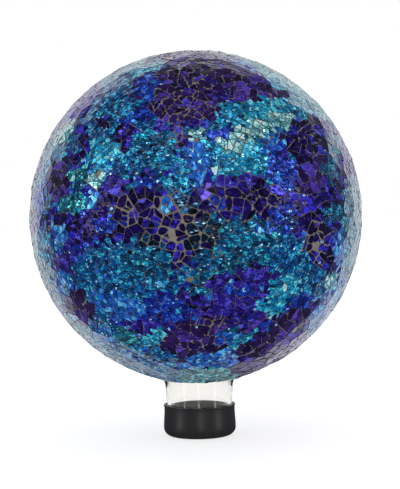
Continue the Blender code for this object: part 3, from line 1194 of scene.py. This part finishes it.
# %% [markdown]
# ## Finishes
#
# The shards are coloured glass over a mirrored back: a metal-like reflection in the glass's own colour,
# under a clear hard gloss. Real glass with a mirror behind it would need many more samples to render
# clean, so a part of the shader is metal instead. Every glass has three tones and its own crackle.

# %% Materials and groups in them
def finish(name):
    """A new material, its node tree and its main shader."""
    made = bpy.data.materials.new(name)
    made.use_nodes = True
    return made, made.node_tree, made.node_tree.nodes["Principled BSDF"]


def grouped(tree, group, **values):
    """A node group in a material, with its own values."""
    node = tree.nodes.new("ShaderNodeGroup")
    node.node_tree = group
    for name, value in values.items():
        node.inputs[name.replace("_", " ")].default_value = value
    return node


def put_on(piece, made):
    """Gives a piece its finish."""
    piece.data.materials.append(made)
    print(piece.name, "is finished in", made.name)


# %% Finish of the crackled glass
MIRRORED = 0.35
GLOSS = 0.35
GAIN = 1.5
DARK_GLASSES = ("indigo", "violet", "plum", "cobalt")
# painted sheen: the white a glass pales to at a slant, and how much of its bright tone it keeps
PAINTED_SHEEN_WHITE = (0.87, 0.86, 0.88)
PAINTED_SHEEN_TINT = 0.16  # how much of its own bright tone a glass keeps at a slant
# facet size in mm, how flat the facets lie, their lean, their share in the tone, share of painted glints
CRACKLES = {
    "indigo": (2.3, 1.3, 0.24, 0.4, 0.003),
    "violet": (2.1, 1.3, 0.26, 0.45, 0.004),
    "plum": (2.5, 1.3, 0.2, 0.35, 0.002),
    "cobalt": (1.9, 1.3, 0.32, 0.5, 0.02),
    "azure": (1.9, 0.55, 0.32, 0.5, 0.02),
    "cerulean": (1.5, 1.2, 0.38, 0.55, 0.025),
    "teal": (1.6, 1.8, 0.36, 0.55, 0.025),
    "sea": (1.5, 1.2, 0.36, 0.5, 0.03),
    "deep_teal": (1.9, 2.4, 0.34, 0.5, 0.03),
    "aqua": (1.9, 1.3, 0.32, 0.45, 0.03),
    "mint": (1.8, 1.2, 0.3, 0.45, 0.04),
    # painted highlight: broad flat facets and no glints
    "lilac": (6.0, 1.0, 0.05, 0.2, 0.0),
}


def linear(screen):
    """A colour as the shader wants it, from screen values up to 255, lifted for what the mirror takes."""
    values = [v / 255 / 12.92 if v < 11 else ((v / 255 + 0.055) / 1.055) ** 2.4 for v in screen]
    return tuple(min(1, v * GAIN) for v in values) + (1,)


def mosaic_finish(glass):
    """Crackled, mirror-backed glass of one colour."""
    deep, body, bright = (linear(tone) for tone in GLASSES[glass])
    # the colour of the painted sheen
    pale = tuple(w + (b - w) * PAINTED_SHEEN_TINT for w, b in zip(PAINTED_SHEEN_WHITE, bright)) + (1,)
    facet, stretch, lean, share, painted_glint_share = CRACKLES[glass]
    made, tree, shader = finish(f"{glass}_glass")
    glitter = grouped(tree, GLITTER, Deep=deep, Body=body, Bright=bright, Spark=painted_glint_share, Stretch=stretch)
    for name, value in (("Scale", 1 / (facet * MM)), ("Lean", lean), ("Share", share)):
        glitter.inputs[f"Facet {name}"].default_value = value
    start = DARK_START if glass in DARK_GLASSES else SLANT_START
    slanted = grouped(tree, SLANT, Pale=pale, Start=start)
    angle = add_node(tree, "LayerWeight", {"Blend": 0.5})
    tree.links.new(angle.outputs["Facing"], slanted.inputs["Facing"])
    for given, taken in (("Colour", "Base Color"), ("Roughness", "Roughness"), ("Normal", "Normal")):
        tree.links.new(glitter.outputs[given], slanted.inputs[given])
        tree.links.new(slanted.outputs[given], shader.inputs[taken])
    shader.inputs["Metallic"].default_value = MIRRORED
    shader.inputs["Specular IOR Level"].default_value = GLOSS
    return made


for glass, piece in mosaics.items():
    put_on(piece, mosaic_finish(glass))

# %% [markdown]
# ## Grout, rubber and clear glass
#
# The grout is a sanded cement, brown grey and quite matte. The rubber is black with a soft sheen, a
# little uneven from the mould. The blown glass is clear, with the faint ripple that blowing leaves. All
# three could be flat colours at this distance, but close up the mottling is what makes them real. It
# sets the grout's colour and the rubber's roughness, and it raises small bumps on all three.

# %% Bumps from the mottling
def bumped(tree, shader, mottling, strength, depth):
    """Raises the mottling as small bumps."""
    height = mottling.outputs["Value"]
    bumps = add_node(tree, "Bump", {"Strength": strength, "Distance": depth, "Height": height})
    tree.links.new(bumps.outputs[0], shader.inputs["Normal"])


# %% Finish of the grout
GROUT_SHADES = ((0.095, 0.08, 0.062, 1), (0.27, 0.24, 0.195, 1))
grout, tree, shader = finish("sanded_grout")
sand = grouped(tree, MOTTLING, Cloud_Scale=90.0, Grain_Scale=1600.0, Grain_Share=0.6)
shades = add_node(tree, "ValToRGB", {"Fac": sand.outputs["Value"]})
for stop, shade in zip(shades.color_ramp.elements, GROUT_SHADES):
    stop.color = shade
tree.links.new(shades.outputs["Color"], shader.inputs["Base Color"])
bumped(tree, shader, sand, strength=0.5, depth=0.2 * MM)
shader.inputs["Roughness"].default_value = 0.85
put_on(bed, grout)

# %% Finish of the rubber
rubber, tree, shader = finish("black_rubber")
mould = grouped(tree, MOTTLING, Cloud_Scale=45.0, Grain_Scale=1400.0, Grain_Share=0.4, Low=0.27, High=0.37)
tree.links.new(mould.outputs["Value"], shader.inputs["Roughness"])
bumped(tree, shader, mould, strength=0.12, depth=0.1 * MM)
shader.inputs["Base Color"].default_value = (0.014, 0.014, 0.016, 1)
shader.inputs["Specular IOR Level"].default_value = 1.0
put_on(cap, rubber)

# %% Finish of the blown glass
clear, tree, shader = finish("clear_glass")
ripple = grouped(tree, MOTTLING, Cloud_Scale=25.0, Grain_Scale=60.0, Grain_Share=0.3)
bumped(tree, shader, ripple, strength=0.05, depth=0.5 * MM)
shader.inputs["Base Color"].default_value = (0.935, 0.927, 0.908, 1)
shader.inputs["Roughness"].default_value = 0.0
shader.inputs["Transmission Weight"].default_value = 1.0
shader.inputs["IOR"].default_value = 1.5
put_on(blown, clear)
